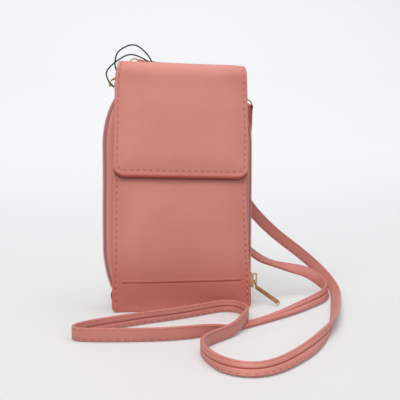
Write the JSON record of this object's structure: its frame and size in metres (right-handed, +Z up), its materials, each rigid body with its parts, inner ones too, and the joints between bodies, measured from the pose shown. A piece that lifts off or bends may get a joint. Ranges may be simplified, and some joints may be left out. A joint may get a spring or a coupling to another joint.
{
  "type": "phone pouch",
  "caption": "Slim crossbody phone pouch: a phone pocket under a magnetic fold-over flap on the front of a zip-around wallet, with swivel clasps and a long flat strap",
  "frame": {"origin": "centre of the base mount, on the wallet's bottom face in the plane it stands on", "axes": "+X to the right seen from the front, +Y to the back, +Z up"},
  "size_m": [0.2086, 0.2142, 0.1993],
  "materials": {
    "rose_leather": "fine-grained dusty rose leather, satin",
    "lining_cloth": "plain woven lining",
    "zip_tape": "woven tape",
    "zip_coil": "moulded coil teeth",
    "gold_metal": "polished pale gold plate",
    "steel": "plated",
    "stiffener": "flat board",
    "black_elastic": "round elastic"
  },
  "bodies": {
    "pouch": {"back_lining": "lining_cloth", "back_shell": "rose_leather", "base_strip": "rose_leather", "card_slots": "lining_cloth", "clasp_eye_left": "gold_metal", "clasp_eye_right": "gold_metal", "flap_fold": "rose_leather", "front_lining": "lining_cloth", "front_shell": "rose_leather", "hang_loop": "black_elastic", "pocket_back": "rose_leather", "pocket_back_lining": "lining_cloth", "pocket_front": "rose_leather", "pocket_front_lining": "lining_cloth", "pocket_gusset": "rose_leather", "steel_disc": "steel", "strap": "rose_leather", "strap_end_left": "rose_leather", "strap_end_right": "rose_leather", "strap_rivet_left": "gold_metal", "strap_rivet_right": "gold_metal", "tab_left": "rose_leather", "tab_right": "rose_leather", "zip_tape_back": "zip_tape", "zip_tape_front": "zip_tape", "zip_teeth_back": "zip_coil", "zip_teeth_front": "zip_coil"},
    "flap": {"flap_leather": "rose_leather", "flap_board": "stiffener", "flap_lining": "lining_cloth", "flap_magnet": "steel"},
    "slider": {"zip_slider": "gold_metal"},
    "pull_link": {"pull_link": "gold_metal"},
    "pull_tab": {"pull_tab": "gold_metal"},
    "ring_left": {"ring_left": "gold_metal"},
    "clasp_left": {"clasp_left": "gold_metal", "clasp_pin_left": "gold_metal"},
    "gate_left": {"clasp_gate_left": "gold_metal"},
    "ring_right": {"ring_right": "gold_metal"},
    "clasp_right": {"clasp_right": "gold_metal", "clasp_pin_right": "gold_metal"},
    "gate_right": {"clasp_gate_right": "gold_metal"}
  },
  "joints": [
    {"name": "flap_open", "type": "hinge", "parent": "pouch", "child": "flap", "pos_m": [0, -0.0129, 0.1764], "axis": [-1, 0, 0], "range_deg": [0, 160], "deforming": ["flap_fold"]},
    {"name": "zip_slide", "type": "slide", "parent": "pouch", "child": "slider", "axis": [0, 0, 1], "range_m": [0, 0.112]},
    {"name": "pull_link_swing", "type": "hinge", "parent": "slider", "child": "pull_link", "pos_m": [0.0601, 0.006, 0.01675], "axis": [0, -1, 0], "range_deg": [0, 70]},
    {"name": "pull_tab_swing", "type": "hinge", "parent": "pull_link", "child": "pull_tab", "pos_m": [0.0619, 0.00388, 0.01121], "axis": [-0.3568, -0.5864, 0.7272], "range_deg": [0, 75]},
    {"name": "ring_left_swing", "type": "hinge", "parent": "pouch", "child": "ring_left", "pos_m": [-0.0456, -0.0014, 0.168], "axis": [1, 0, 0], "range_deg": [-3, 6]},
    {"name": "clasp_left_swivel", "type": "hinge", "parent": "pouch", "child": "clasp_left", "pos_m": [-0.03252, 0.00711, 0.18484], "axis": [-0.5799, -0.1999, -0.7898], "range_deg": [-15, 15]},
    {"name": "gate_left_open", "type": "hinge", "parent": "clasp_left", "child": "gate_left", "pos_m": [-0.0365, 0.0087, 0.17558], "axis": [-0.7415, 0.5311, 0.41], "range_deg": [0, 22], "stiffness_Nm_per_rad": 0.002, "springref_deg": -11.46},
    {"name": "ring_right_swing", "type": "hinge", "parent": "pouch", "child": "ring_right", "pos_m": [0.0456, -0.0014, 0.168], "axis": [1, 0, 0], "range_deg": [-6, 0]},
    {"name": "clasp_right_swivel", "type": "hinge", "parent": "pouch", "child": "clasp_right", "pos_m": [0.0555, 0.01299, 0.15601], "axis": [-0.5097, -0.3868, 0.7685], "range_deg": [-7, 15]},
    {"name": "gate_right_open", "type": "hinge", "parent": "clasp_right", "child": "gate_right", "pos_m": [0.04958, 0.00616, 0.16075], "axis": [-0.8134, 0.5076, -0.284], "range_deg": [0, 22], "stiffness_Nm_per_rad": 0.002, "springref_deg": -11.46}
  ]
}
